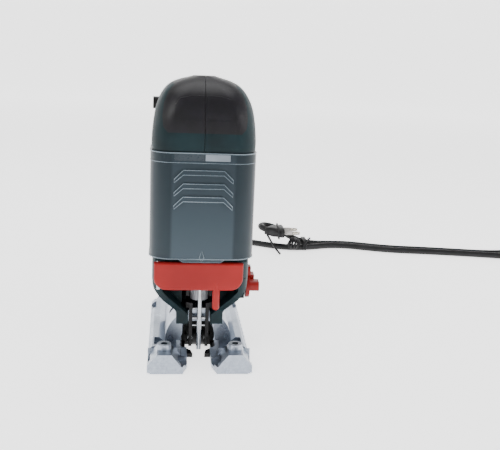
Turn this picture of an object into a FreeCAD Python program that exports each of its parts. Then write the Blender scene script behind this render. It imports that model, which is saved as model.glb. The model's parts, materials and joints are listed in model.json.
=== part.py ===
"""Orbital-action jigsaw with a D-shaped handle, clear front cover and cast sole plate.

The frame has +Z up, the front of the tool facing -Y and its right-hand side at +X as seen from
the front. The origin is the centre of the sole plate's underside. Every length is in millimetres.
"""
import FreeCAD, Part
import math
import os

V = FreeCAD.Vector
AXIS_X = V(1, 0, 0)
AXIS_Y = V(0, 1, 0)
AXIS_Z = V(0, 0, 1)

# Sole plate
SOLE_HALF = 38.0
SOLE_FRONT = -84.0
SOLE_REAR = 84.0
SOLE_THICK = 3.5
PRONG_INNER = 8.9
PRONG_FLARE = 12.2
PRONG_TOP = 14.5
GUIDE_HOLE_R = 2.5
GUIDE_X = 26.0
GUIDE_Y = -72.0
BOSS_R = 5.0
BOSS_TOP = 19.0

# Tilt joint between sole plate and housing
TILT_Z = 8.75
ARCH_OUTER = 25.5
ARCH_INNER = 16.7
ARCH_LIP = 13.5
ARCH_FRONT = -40.0
ARCH_REAR = 14.0
TILT_GAP = 0.3
CLAMP_Y = -12.0

# Dust hood
HOOD_OUTER = 13.2
HOOD_INNER = 10.2
HOOD_FRONT = -28.5
HOOD_REAR = -21.6

# Housing
WALL = 3.0
HEAD_HALF = 36.0
HEAD_FRONT = -58.0
HEAD_REAR = 18.0
HEAD_BOTTOM = 54.0
HEAD_TOP = 160.0
FOOT_HALF = 17.4
FOOT_TOP = 38.0
FOOT_BOTTOM = 27.5
FOOT_FRONT = -54.5
SKIRT_HALF = 35.7
MOTOR_Z = 74.0
BARREL_R = 32.0
BARREL_REAR = 140.0

PAD_RISE = 0.9
SEAM = 0.15

RAMP_HALF = 22.5
RAMP_LOW = 82.0
RAMP_HIGH = 152.0

# Clear front cover
COVER_HALF = 38.3
COVER_FRONT = -62.0
COVER_REAR = 4.0
COVER_BOTTOM = 79.5
COVER_TOP = 157.5
COVER_WALL = 2.0

# Stroke mechanism
STROKE = 18.0
ROD_Y = -39.0
ROD_R = 4.0
GEAR_Z = 106.0
GEAR_TEETH = 52
PINION_TEETH = 12
MODULE = 1.0
CRANK_R = STROKE / 2
COLLAR_R = 6.85
COLLAR_BOTTOM = 43.0
COLLAR_TOP = 60.0

# Blade release lever
LEVER_X = -31.0
LEVER_Y = -57.0
LEVER_FRONT = -64.0

# Power cord
CORD_D = 7.2
CORD_Z = CORD_D / 2 + 0.1
COIL_X = 490.0
COIL_Y = 262.0
COIL_MEAN_R = 39.0
COIL_BAND = 29.6
COIL_HEIGHT = 14.8
PLUG_X = 113.0
PLUG_Y = 280.0
PLUG_Z = 20.7
PIN_LENGTH = 19.0
PIN_APART = 19.0
TIE_X = 138.0
CORD_ROUTE = [
    (0.0, 185.8, 80.0), (0.0, 205.0, 76.5), (0.0, 223.0, 67.5), (1.0, 238.0, 53.5),
    (4.0, 251.0, 37.5), (9.0, 263.5, 22.5), (17.5, 275.5, 11.0), (31.0, 287.5, 5.0),
    (52.0, 295.0, CORD_Z), (76.0, 291.0, CORD_Z), (98.0, 276.0, CORD_Z), (122.0, 267.5, CORD_Z),
    (147.0, 272.0, CORD_Z), (169.0, 281.0, CORD_Z), (193.0, 281.0, CORD_Z),
    (217.0, 271.0, CORD_Z), (247.0, 262.0, CORD_Z), (288.0, 258.0, CORD_Z),
    (332.0, 251.0, CORD_Z), (376.0, 243.0, CORD_Z), (417.0, 230.0, CORD_Z), (456.0, 216.0, CORD_Z),
]
RETURN_ROUTE = [
    (488.0, 312.0, 8.0), (459.0, 310.0, CORD_Z), (434.0, 296.0, CORD_Z), (411.0, 275.0, CORD_Z),
    (385.0, 257.0, CORD_Z), (353.0, 255.5, CORD_Z), (315.0, 262.5, CORD_Z), (280.0, 268.0, CORD_Z),
    (248.0, 271.5, CORD_Z), (221.0, 279.5, CORD_Z), (197.0, 290.0, CORD_Z),
    (172.0, 290.5, CORD_Z), (151.0, 284.0, 5.0), (133.0, 284.5, 8.0), (118.0, 294.0, 14.5),
    (105.0, 301.0, 21.0), (92.0, 299.5, 24.0), (86.0, 290.5, 24.0), (91.0, 281.5, 22.5),
    (98.0, 280.0, 21.5),
]

NODES = {}


def keep(node, *solids):
    """Store one or more solids as a named sub-part."""
    NODES[node] = solids[0] if len(solids) == 1 else Part.makeCompound(list(solids))


def box(x0, x1, y0, y1, z0, z1):
    """Axis-aligned block between two corners."""
    return Part.makeBox(x1 - x0, y1 - y0, z1 - z0, V(x0, y0, z0))


def rod_x(y, z, radius, x0, x1):
    """Cylinder along X."""
    return Part.makeCylinder(radius, x1 - x0, V(x0, y, z), AXIS_X)


def rod_y(x, z, radius, y0, y1):
    """Cylinder along Y."""
    return Part.makeCylinder(radius, y1 - y0, V(x, y0, z), AXIS_Y)


def rod_z(x, y, radius, z0, z1):
    """Cylinder along Z."""
    return Part.makeCylinder(radius, z1 - z0, V(x, y, z0), AXIS_Z)


def prism(points, direction):
    """Solid prism from a closed polygon swept along a vector."""
    wire = Part.makePolygon(points + points[:1])
    return Part.Face(wire).extrude(direction)


def prism_x(profile, x0, x1):
    """Polygon of (y, z) points swept from x0 to x1."""
    return prism([V(x0, y, z) for y, z in profile], V(x1 - x0, 0, 0))


def prism_y(profile, y0, y1):
    """Polygon of (x, z) points swept from y0 to y1."""
    return prism([V(x, y0, z) for x, z in profile], V(0, y1 - y0, 0))


def prism_z(profile, z0, z1):
    """Polygon of (x, y) points swept from z0 to z1."""
    return prism([V(x, y, z0) for x, y in profile], V(0, 0, z1 - z0))


def mirrored_x(shape):
    """The same shape on the other side of the centre plane."""
    return shape.mirror(V(0, 0, 0), AXIS_X)


def both_sides(shape):
    """A shape joined with its mirror image."""
    return shape.fuse(mirrored_x(shape)).removeSplitter()


def fuse_all(shapes):
    """Union of a list of shapes."""
    return shapes[0].multiFuse(shapes[1:]).removeSplitter()


def cut_all(shape, tools):
    """A shape less a list of tools."""
    return shape.cut(tools)


def rounded(shape, radius, chosen):
    """Fillet the edges that a test picks."""
    edges = [edge for edge in shape.Edges if chosen(edge)]
    return shape.makeFillet(radius, edges)


def along(edge, axis):
    """True for a straight edge along an axis."""
    if edge.Curve.TypeId != "Part::GeomLine":
        return False
    return abs(abs(edge.tangentAt(edge.FirstParameter).dot(axis)) - 1) < 1e-6


def ring_wire(half, y0, y1, radius, z):
    """Closed rounded rectangle, symmetric about x = 0, at height z."""
    radius = min(radius, half - 0.5, (y1 - y0) / 2 - 0.5)
    centres = [(half - radius, y1 - radius, 0), (radius - half, y1 - radius, 90),
               (radius - half, y0 + radius, 180), (half - radius, y0 + radius, 270)]
    arcs = []
    for cx, cy, start in centres:
        pts = []
        for step in (0, 45, 90):
            turn = math.radians(start + step)
            pts.append(V(cx + radius * math.cos(turn), cy + radius * math.sin(turn), z))
        arcs.append(pts)
    edges = []
    for index, pts in enumerate(arcs):
        edges.append(Part.Arc(*pts).toShape())
        following = arcs[(index + 1) % len(arcs)]
        edges.append(Part.LineSegment(pts[2], following[0]).toShape())
    return Part.Wire(edges)


def stack(sections, inset=0.0):
    """Loft of rounded rectangles given as (z, half width, front y, rear y, corner radius)."""
    wires = []
    for z, half, front, rear, radius in sections:
        wires.append(ring_wire(half - inset, front + inset, rear - inset, radius, z))
    return Part.makeLoft(wires, True, False)


def lay_down(wire):
    """Turn a wire drawn in X and Y so that its Y runs up Z and its Z along Y."""
    turned = wire.copy()
    turned.transformShape(FreeCAD.Matrix(1, 0, 0, 0, 0, 0, 1, 0, 0, 1, 0, 0, 0, 0, 0, 1))
    return turned


def tunnel(sections, inset=0.0):
    """Loft of rounded rectangles given as (y, half width, low z, high z, corner radius)."""
    wires = []
    for y, half, low, high, radius in sections:
        wires.append(lay_down(ring_wire(half - inset, low + inset, high - inset, radius, y)))
    return Part.makeLoft(wires, True, False)


def tube_y(x, z, outer, inner, y0, y1):
    """Hollow cylinder along Y."""
    return rod_y(x, z, outer, y0, y1).cut(rod_y(x, z, inner, y0 - 1, y1 + 1))


# ---------------------------------------------------------------- sole plate

def sole_plate():
    """Cast sole with two front prongs, side rails, guide bosses and the tilt arch."""
    outline = [(-SOLE_HALF, SOLE_FRONT + 3), (-SOLE_HALF + 3, SOLE_FRONT), (SOLE_HALF - 3, SOLE_FRONT),
               (SOLE_HALF, SOLE_FRONT + 3), (SOLE_HALF, SOLE_REAR - 30),
               (SOLE_HALF - 6, SOLE_REAR), (6 - SOLE_HALF, SOLE_REAR), (-SOLE_HALF, SOLE_REAR - 30)]
    plate = prism_z(outline, 0, SOLE_THICK)
    gap = prism_z([(-PRONG_FLARE, SOLE_FRONT - 1), (PRONG_FLARE, SOLE_FRONT - 1),
                   (PRONG_FLARE, SOLE_FRONT + 1), (PRONG_INNER, SOLE_FRONT + 12),
                   (PRONG_INNER, -46), (13.45, -38), (13.45, -26), (-13.45, -26), (-13.45, -38),
                   (-PRONG_INNER, -46), (-PRONG_INNER, SOLE_FRONT + 12),
                   (-PRONG_FLARE, SOLE_FRONT + 1)], -1, PRONG_TOP + 10)
    prong = prism_y([(10.5, 1), (SOLE_HALF, 1), (SOLE_HALF, 6.2), (31, PRONG_TOP),
                     (20.5, PRONG_TOP), (13.5, 5.5), (10.5, 5)], SOLE_FRONT + 0.01, -63.5)
    ramp = prism_x([(-64, 1), (-64, 12), (-58, 7.5), (-50, 5), (-50, 1)], 14, SOLE_HALF)
    inner_rib = prism_y([(PRONG_INNER, 1), (13, 1), (13, 4.6), (PRONG_INNER, 5.6)], -76, -46)
    rail = prism_y([(25.8, 1), (SOLE_HALF, 1), (SOLE_HALF, 5), (35, 8), (30, 8), (25.8, 4.5)], -51, 62)
    boss = rod_z(GUIDE_X, GUIDE_Y, BOSS_R, 9, BOSS_TOP)
    side = fuse_all([prong, ramp, inner_rib, rail, boss])
    arch = tube_y(0, TILT_Z, ARCH_OUTER, ARCH_INNER, ARCH_FRONT, ARCH_REAR)
    lip = tube_y(0, TILT_Z, ARCH_OUTER - 1, ARCH_LIP, ARCH_FRONT, ARCH_FRONT + 4)
    below = box(-30, 30, ARCH_FRONT - 1, ARCH_REAR + 1, -40, TILT_Z)
    legs = both_sides(box(ARCH_INNER, ARCH_OUTER, ARCH_FRONT, ARCH_REAR, 1, TILT_Z))
    arch = arch.fuse(lip).cut(below).fuse(legs)
    sole = fuse_all([plate, both_sides(side), arch])
    slot = Part.makeCylinder(ARCH_OUTER + 2, 6.8, V(0, CLAMP_Y - 3.4, TILT_Z), AXIS_Y, 116)
    slot = slot.cut(rod_y(0, TILT_Z, ARCH_INNER - 4, CLAMP_Y - 5, CLAMP_Y + 5))
    middle = slot.BoundBox.Center
    turn = math.degrees(math.atan2(middle.z - TILT_Z, middle.x))
    slot.rotate(V(0, 0, TILT_Z), AXIS_Y, turn - 90)
    guide_slot = both_sides(box(6, SOLE_HALF + 2, GUIDE_Y - 6.5, GUIDE_Y + 6.5, 3, 8.6))
    guide_hole = both_sides(rod_z(GUIDE_X, GUIDE_Y, GUIDE_HOLE_R, 8, BOSS_TOP + 1))
    pocket = both_sides(box(26.6, 33.8, -47, -32, 3.6, 9))
    side_slot = both_sides(box(33.5, SOLE_HALF + 1, 38, 54, 4.2, 9))
    access = box(-12, 12, CLAMP_Y - 5.5, CLAMP_Y + 5.5, -1, SOLE_THICK + 1)
    return cut_all(sole, [gap, slot, guide_slot, guide_hole, pocket, side_slot, access])


def splinter_insert():
    """Horseshoe of black plastic that closes the sole's opening round the blade."""
    outer = prism_z([(-8.8, -53.6), (8.8, -53.6), (8.8, -45.9), (13.35, -37.9), (13.35, -26.1),
                     (-13.35, -26.1), (-13.35, -37.9), (-8.8, -45.9)], 0.2, 3.2)
    notch = prism_z([(-4.4, -54), (4.4, -54), (5.6, -46.5), (9.9, -42), (9.9, -28), (1.2, -28), (1.2, -30.5),
                     (-1.2, -30.5), (-1.2, -28), (-9.9, -28), (-9.9, -42), (-5.6, -46.5)], -1, 5)
    return outer.cut(notch)


# ---------------------------------------------------------------- housing

NOSE = [
    (158.2, 37.3, -61.4, 14.0, 14.0), (165.0, 37.6, -62.2, 16.0, 15.0), (174.0, 37.0, -62.6, 15.0, 16.0),
    (183.5, 35.8, -61.6, 10.0, 17.0), (191.5, 33.8, -59.0, 5.0, 18.0), (197.5, 30.9, -55.6, 0.0, 18.0),
    (203.0, 26.4, -50.0, -4.0, 18.0), (206.6, 20.0, -44.0, -8.0, 15.0), (210.0, 8.4, -35.0, -14.5, 7.5),
]
GRIP_OUTLINE = [
    (26.0, 171.3), (29.4, 175.0), (30.0, 182.0), (29.2, 191.0), (26.4, 198.6), (22.5, 203.5), (22.5, 215.0),
]
PAD_OUTLINE = [(19.0, 180.8), (21.5, 184.0), (21.0, 191.0), (18.0, 195.2), (9.0, 197.2)]
BAR = [
    (-30.0, 21.0, 164.0, 207.5, 18.0), (0.0, 19.5, 162.0, 207.0, 18.0), (35.0, 18.0, 162.0, 205.5, 17.0),
    (70.0, 18.0, 160.0, 202.5, 17.0), (100.0, 19.0, 152.0, 197.0, 17.0), (122.0, 18.5, 146.0, 188.0, 17.0),
]
LEG = [
    (80.0, 26.0, 96.0, 141.0, 16.0), (105.0, 23.0, 98.0, 144.0, 16.0), (130.0, 20.5, 100.0, 145.0, 16.0),
    (155.0, 19.5, 100.0, 142.0, 16.0), (172.0, 18.5, 100.0, 135.0, 15.0), (186.0, 16.0, 100.0, 122.0, 9.0),
]
SCREW_PLACES = [(10.0, 148.0), (-22.0, 176.0), (78.0, 181.0), (128.0, 156.0), (133.0, 104.0),
                (104.0, 116.0), (9.0, 122.0)]
SCREW_R = 2.0
SCREW_BOSS_R = 4.4


def head_block(inset=0.0):
    """Tall front column that holds the stroke mechanism."""
    block = box(inset - HEAD_HALF, HEAD_HALF - inset, HEAD_FRONT + inset, HEAD_REAR - inset,
                HEAD_BOTTOM + 6 + inset, HEAD_TOP - inset)
    return rounded(block, 13 - inset, lambda edge: along(edge, AXIS_Z) and edge.CenterOfMass.y < -30)


def skirt_block(inset=0.0):
    """Tapering lower head that comes down to the foot over the tilt arch."""
    half = FOOT_HALF - inset
    wide = SKIRT_HALF - inset
    right = [(half, FOOT_BOTTOM), (half, FOOT_TOP - 1.6), (half + 1.2, FOOT_TOP + 0.6),
             (wide - 4.5, HEAD_BOTTOM - 3.6), (wide - 1.3, HEAD_BOTTOM), (wide, HEAD_BOTTOM + 4),
             (wide, HEAD_BOTTOM + 9)]
    plan = box(-wide, wide, HEAD_FRONT - 1.0 + inset, 16 - inset, 20, HEAD_BOTTOM + 9)
    plan = rounded(plan, 13 - inset, lambda edge: along(edge, AXIS_Z) and edge.CenterOfMass.y < -30)
    block = outline_prism(right, HEAD_FRONT - 2.0, 20).common(plan)
    slope = prism_x([(HEAD_FRONT - 3, HEAD_BOTTOM), (HEAD_FRONT - 3, 20), (FOOT_FRONT, 20),
                     (FOOT_FRONT, FOOT_TOP)], -60, 60)
    return block.cut(slope)


def barrel(inset=0.0):
    """Motor barrel with a domed rear end."""
    body = rod_y(0, MOTOR_Z, BARREL_R - inset, 6, BARREL_REAR - inset)
    return rounded(body, 14 - inset, lambda edge: edge.CenterOfMass.y > BARREL_REAR - 5)


def housing_envelope():
    """Outer shape of the two closed shells."""
    return fuse_all([head_block(), skirt_block(), barrel(), stack(NOSE), tunnel(BAR), stack(LEG)])


def screw_solid(y, z, scale=1.0):
    """One casing screw, driven in from the right-hand shell."""
    head = rod_x(y, z, 3.4 * scale, 12, 14.6)
    return head.fuse(rod_x(y, z, SCREW_R * scale, -9, 12.1))


def housing_hollow():
    """Space inside the shells."""
    head = head_block(WALL)
    lower = box(-13, 13, -52, 3, 40, HEAD_BOTTOM + 10)
    lower = lower.fuse(box(-26, 26, HEAD_FRONT - 4, -45, 57, 76))
    throat = [(8.4, 20), (8.4, 34.4), (12.5, 38.4), (28.0, HEAD_BOTTOM), (28.0, HEAD_BOTTOM + 6)]
    foot = outline_prism(throat, -70, -24)
    motor = barrel(WALL).fuse(rod_y(0, MOTOR_Z, 27, -2, 10))
    nose = stack(NOSE[:-1], 2 * WALL)
    bar = tunnel(BAR, WALL + 2.2)
    leg = stack(LEG[:-1], WALL + 1.2)
    return fuse_all([head.cut(ramp_block()), lower, foot, motor, nose, bar, leg])


def ramp_block():
    """Thicker front wall behind the cover, into which the ramp is sunk."""
    return box(-RAMP_HALF - 2, RAMP_HALF + 2, HEAD_FRONT, HEAD_FRONT + 8.2, 78, HEAD_TOP)


def ramp_recess():
    """Sloping recess in the head's front wall that leads dust down behind the cover."""
    side = [(HEAD_FRONT - 5, RAMP_LOW), (HEAD_FRONT + 0.8, RAMP_LOW), (HEAD_FRONT + 5.8, RAMP_HIGH),
            (HEAD_FRONT - 5, RAMP_HIGH)]
    return prism_x(side, -RAMP_HALF, RAMP_HALF)


def housing_shells():
    """Left and right shells, with ribs for screws, and every opening for moving pieces."""
    outer = housing_envelope()
    inner = housing_hollow()
    shell = outer.cut(inner)
    posts = [rod_x(y, z, SCREW_BOSS_R, -16, 16).common(outer) for y, z in SCREW_PLACES]
    saddle_ribs = [box(-28, -13.2, -41, 3, 40, 56), box(13.2, 28, -41, 3, 40, 56)]
    collars = [rod_z(0, ROD_Y, 8.6, 80, 90).cut(rod_z(0, ROD_Y, 6.05, 70, 100)),
               rod_z(0, ROD_Y, 8.6, 125, 137).cut(rod_z(0, ROD_Y, 6.05, 120, 140))]
    webs = [box(-34, -7.6, ROD_Y - 2, ROD_Y + 2, 82, 88), box(7.6, 34, ROD_Y - 2, ROD_Y + 2, 82, 88),
            box(-34, -7.6, ROD_Y - 2, ROD_Y + 2, 127, 135), box(7.6, 34, ROD_Y - 2, ROD_Y + 2, 127, 135)]
    ears = both_sides(box(27, 33.4, -59, -50, 77.4, 79.2))
    lug = box(24, 36.2, -25, -12, 38.2, 56)
    shell = fuse_all([shell, ears, lug] + posts + [rib.common(outer) for rib in saddle_ribs] + collars + webs)
    cuts = [rod_y(0, TILT_Z, ARCH_OUTER + TILT_GAP, ARCH_FRONT - 0.6, ARCH_REAR + 6)]
    for y, z in SCREW_PLACES:
        cuts.append(rod_x(y, z, SCREW_R, -9, 14))
        cuts.append(rod_x(y, z, 3.5, 12, 40))
    cuts.append(rod_z(0, CLAMP_Y, 2.95, 20, 60))
    return shell, cuts


def outline_prism(half_outline, y0, y1):
    """Prism along Y of an outline given by its right-hand half, lowest point first."""
    return prism_y(half_outline + [(-x, z) for x, z in reversed(half_outline)], y0, y1)


def grip_zone():
    """Part of the handle that carries the soft layer."""
    bar = [(-31, 192), (-10, 187), (30, 186), (96, 177), (118, 172), (118, 215), (-31, 215)]
    return outline_prism(GRIP_OUTLINE, -70, -30).fuse(prism_x(bar, -60, 60))


def grips():
    """Soft layer on the handle, with the raised pad on its nose."""
    skin = fuse_all([stack(NOSE), tunnel(BAR)])
    pad = stack(NOSE, -PAD_RISE).common(outline_prism(PAD_OUTLINE, -70, -45))
    core = fuse_all([stack(NOSE[:-1], 2.2), stack([(200, 24, -50, -6, 15), (206.8, 13, -42, -12, 10)]),
                     tunnel(BAR, 2.2)])
    return skin.common(grip_zone()).fuse(pad).cut(core)


# ---------------------------------------------------------------- small families

def gear_profile(teeth, root_r, tip_r, phase):
    """Closed list of (x, z) points of a spur gear with straight flanks."""
    pitch = 2 * math.pi / teeth
    points = []
    for index in range(teeth):
        middle = phase + index * pitch
        for radius, share in ((root_r, -0.36), (tip_r, -0.13), (tip_r, 0.13), (root_r, 0.36)):
            angle = middle + share * pitch
            points.append((radius * math.sin(angle), radius * math.cos(angle)))
    return points


def spur_gear(teeth, x, z, y0, y1, phase):
    """Spur gear with its axis along Y."""
    pitch_r = MODULE * teeth / 2
    profile = gear_profile(teeth, pitch_r - 1.2 * MODULE, pitch_r + 0.85 * MODULE, phase)
    return prism_y([(x + px, z + pz) for px, pz in profile], y0, y1)


def helix_spring(radius, wire_r, height, turns, place):
    """Coil spring standing on a point, as stacked rings joined by a spine."""
    rings = []
    for index in range(turns):
        level = wire_r + index * (height - 2 * wire_r) / (turns - 1)
        rings.append(Part.makeTorus(radius, wire_r, place + V(0, 0, level), AXIS_Z))
    spine = Part.makeCylinder(wire_r * 0.9, height, place + V(radius, 0, 0), AXIS_Z)
    return fuse_all(rings + [spine])


def route_wire(points, bend_share=0.45):
    """Straight runs joined by tangent arcs through a list of points, and the arcs' radii."""
    nodes = [V(*point) for point in points]
    edges = []
    radii = []
    start = nodes[0]
    for before, corner, after in zip(nodes, nodes[1:], nodes[2:]):
        into = (corner - before)
        out = (after - corner)
        reach = bend_share * min(into.Length, out.Length)
        into.normalize()
        out.normalize()
        half_turn = into.getAngle(out) / 2
        radius = reach / math.tan(half_turn)
        radii.append(round(radius, 1))
        arc_in = corner - into * reach
        arc_out = corner + out * reach
        toward = out - into
        toward.normalize()
        centre = corner + toward * (radius / math.cos(half_turn))
        middle = centre - toward * radius
        edges.append(Part.LineSegment(start, arc_in).toShape())
        edges.append(Part.Arc(arc_in, middle, arc_out).toShape())
        start = arc_out
    edges.append(Part.LineSegment(start, nodes[-1]).toShape())
    return Part.Wire(edges), radii


def pipe(points, radius):
    """Round tube along a route."""
    wire, radii = route_wire(points)
    start = V(*points[0])
    heading = V(*points[1]) - start
    section = Part.Wire([Part.makeCircle(radius, start, heading)])
    return wire.makePipeShell([section], True, False), wire.Length, radii


# ---------------------------------------------------------------- sub-assemblies

def build_sole():
    """Sole plate, insert and the clamp that holds the tilt."""
    keep("sole_plate", sole_plate())
    keep("splinter_insert", splinter_insert())
    saddle = tube_y(0, TILT_Z, ARCH_INNER - TILT_GAP, 12.6, CLAMP_Y - 9, CLAMP_Y + 22)
    saddle = saddle.common(box(-6.5, 6.5, -60, 30, TILT_Z, 60)).cut(rod_z(0, CLAMP_Y, 3.0, 0, 60))
    keep("clamp_plate", saddle)
    screw = rod_z(0, CLAMP_Y, 2.9, 16, 48).fuse(rod_z(0, CLAMP_Y, 4.8, 14.2, 20.6))
    keep("clamp_screw", screw.cut(prism_z(hexagon(0, CLAMP_Y, 2.5), 13, 17.6)))


def hexagon(x, y, flat):
    """Regular hexagon of (x, y) points, given half its width across flats."""
    corner = flat / math.cos(math.pi / 6)
    return [(x + corner * math.cos(math.radians(60 * k)), y + corner * math.sin(math.radians(60 * k)))
            for k in range(6)]


def build_housing():
    """The two shells, the soft grips and the casing screws."""
    shell, cuts = housing_shells()
    grip = grips()
    cuts.append(box(-30.5, 30.5, HEAD_FRONT - 6, HEAD_FRONT + 1.5, 58, 77))
    cuts.append(rod_z(LEVER_X, LEVER_Y, 4.15, 60, 77.3))
    cuts.append(rod_z(LEVER_X, LEVER_Y, 1.4, 55.5, 78.2))
    cuts.append(ramp_recess())
    cuts += control_openings()
    shell = shell.cut(cuts).cut(grip)
    left = shell.common(box(-90, -SEAM, -120, 250, 0, 260))
    right = shell.common(box(SEAM, 90, -120, 250, 0, 260))
    keep("housing_left", *largest(left))
    keep("housing_right", *largest(right))
    grip = grip.cut(control_openings())
    keep("grip_left", *largest(grip.common(box(-90, -SEAM, -120, 250, 0, 260))))
    keep("grip_right", *largest(grip.common(box(SEAM, 90, -120, 250, 0, 260))))
    keep("housing_screws", *[screw_solid(y, z) for y, z in SCREW_PLACES])


def largest(shape):
    """The biggest solid of a shape, as a list for keep()."""
    return [max(shape.Solids, key=lambda solid: solid.Volume)]


def control_openings():
    """Cuts through the shells for the knob, buttons, trigger, cord, dust port and vents."""
    cuts = [rod_x(-20, 47.5, 3.1, 10, 60)]
    cuts.append(box(-60, -20, -26.5, -13.5, 184.2, 193.8))
    cuts.append(box(-8.2, 8.2, 20.5, 58.5, 140, 172))
    cuts.append(rod_y(0, 84, 5.6, 120, 200))
    cuts.append(rod_y(0, 54, 11.2, 128, 200))
    for side in (-1, 1):
        for index in range(7):
            y = 94 + 5.5 * index
            cuts.append(box(min(side * 24, side * 40), max(side * 24, side * 40), y, y + 2.4, 66, 86))
    cuts.append(box(28, 60, -25, -9, 58.6, 62.4))
    return cuts


def build_cover():
    """Clear cover, a U of thin plastic that clips round the head, with three raised bars."""
    outer = box(-COVER_HALF, COVER_HALF, COVER_FRONT, COVER_REAR, COVER_BOTTOM, COVER_TOP)
    inner = box(COVER_WALL - COVER_HALF, COVER_HALF - COVER_WALL, COVER_FRONT + COVER_WALL,
                COVER_REAR + 1, COVER_BOTTOM - 1, COVER_TOP + 1)
    front_edge = lambda edge: along(edge, AXIS_Z) and edge.CenterOfMass.y < -50
    outer = rounded(outer, 15, front_edge)
    inner = rounded(inner, 15 - COVER_WALL, front_edge)
    shell = outer.cut(inner)
    pieces = [shell]
    tab = prism_y([(-17.5, COVER_BOTTOM + 1), (-13.5, COVER_BOTTOM - 2.2), (13.5, COVER_BOTTOM - 2.2),
                   (17.5, COVER_BOTTOM + 1)], COVER_FRONT, COVER_FRONT + COVER_WALL)
    pieces.append(tab)
    for level in (145.2, 135.5, 126.0):
        bar = prism_y([(-14.5, level), (14.5, level), (21, level - 6.5), (21, level - 9), (14.5, level - 3.4),
                       (-14.5, level - 3.4), (-21, level - 9), (-21, level - 6.5)],
                      COVER_FRONT - 1.2, COVER_FRONT + 0.5)
        pieces.append(bar)
    keep("chip_cover", fuse_all(pieces))


def build_release_lever():
    """Blade release: a red band across the head with a finger, its pins and its spring."""
    band = box(-34.4, 30.7, LEVER_FRONT, HEAD_FRONT - 1.2, 56.6, 77.0)
    band = rounded(band, 9.5, lambda edge: along(edge, AXIS_Y) and edge.CenterOfMass.z < 60)
    band = rounded(band, 1.2, lambda edge: edge.CenterOfMass.y < LEVER_FRONT + 0.01)
    finger = rod_z(11.4, HEAD_FRONT - 3.6, 2.7, 43.6, 62)
    finger = finger.fuse(Part.makeSphere(2.7, V(11.4, HEAD_FRONT - 3.6, 43.6)))
    lug = rod_z(LEVER_X, LEVER_Y, 3.0, 60.4, 75.2)
    heel = box(-40, LEVER_X + 4.2, HEAD_FRONT - 3.2, HEAD_FRONT + 8, 50, 60.1)
    lever = fuse_all([band.cut(heel), finger, lug])
    keep("release_lever", lever.cut(rod_z(LEVER_X, LEVER_Y, 1.45, 50, 80)))
    keep("lever_pin", rod_z(LEVER_X, LEVER_Y, 1.4, 55.5, 78.2))


def build_stroke():
    """Stroke rod with its yoke and blade clamp, the bushes, and the counterweight."""
    rod = rod_z(0, ROD_Y, ROD_R, 52, 138.5)
    keep("stroke_rod", rod)
    mid = GEAR_Z - CRANK_R
    yoke = box(-19, 19, ROD_Y - 6, ROD_Y + 8.5, mid - 6.5, mid + 6.5)
    yoke = yoke.cut(box(-15, 15, ROD_Y + 4.6, ROD_Y + 9, mid - 4.1, mid + 4.1))
    yoke = yoke.cut(rod_z(0, ROD_Y, ROD_R, 60, 120))
    keep("yoke", rounded(yoke, 2.0, lambda edge: along(edge, AXIS_Y) and abs(edge.CenterOfMass.x) > 18))
    clamp = rod_z(0, ROD_Y, 5.1, COLLAR_BOTTOM + 1.5, COLLAR_TOP + 1).cut(rod_z(0, ROD_Y, ROD_R, 52, 90))
    keep("blade_clamp", clamp.cut(box(-1.0, 1.0, ROD_Y - 4, ROD_Y + 4, 40, 52.2)))
    collar = rod_z(0, ROD_Y, COLLAR_R, COLLAR_BOTTOM, COLLAR_TOP)
    collar = collar.cut(rod_z(0, ROD_Y, 5.15, COLLAR_BOTTOM + 1.3, COLLAR_TOP + 1))
    collar = collar.cut(box(-2.2, 2.2, ROD_Y - 5.2, ROD_Y + 5.2, 40, 50))
    flutes = [rod_z(7.4 * math.cos(math.radians(30 * k)), ROD_Y + 7.4 * math.sin(math.radians(30 * k)),
                    0.9, 47, COLLAR_TOP + 1) for k in range(12)]
    keep("blade_collar", collar.cut(flutes))
    for name, low, high in (("lower_bush", 80, 90), ("upper_bush", 125, 137)):
        keep(name, rod_z(0, ROD_Y, 6.0, low, high).cut(rod_z(0, ROD_Y, ROD_R + 0.04, low - 1, high + 1)))
    plate = box(-22, 22, -23, -19.5, GEAR_Z - 22, GEAR_Z + 40)
    plate = plate.cut(box(-14.5, 14.5, -30, -10, GEAR_Z - 14.2, GEAR_Z + 32.2))
    keep("balance_plate", rounded(plate, 3.0, lambda edge: along(edge, AXIS_Y) and abs(edge.CenterOfMass.x) > 20))


def build_gear():
    """Drive gear on its fixed shaft, with the crank pin and its roller."""
    gear = spur_gear(GEAR_TEETH, 0, GEAR_Z, -14, -6, math.pi)
    gear = gear.cut(rod_y(0, GEAR_Z, 4.04, -20, 10))
    for index in range(5):
        angle = math.radians(72 * index + 36)
        gear = gear.cut(rod_y(16 * math.sin(angle), GEAR_Z + 16 * math.cos(angle), 4.2, -15, -5))
    pin = rod_y(0, GEAR_Z - CRANK_R, 2.6, -29.9, -13.5)
    keep("drive_gear", gear.fuse(pin))
    roller = tube_y(0, GEAR_Z - CRANK_R, 4.0, 2.62, -29.9, -24)
    keep("crank_roller", roller)
    keep("gear_shaft", rod_y(0, GEAR_Z, 4.0, -13.5, 8))


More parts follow.
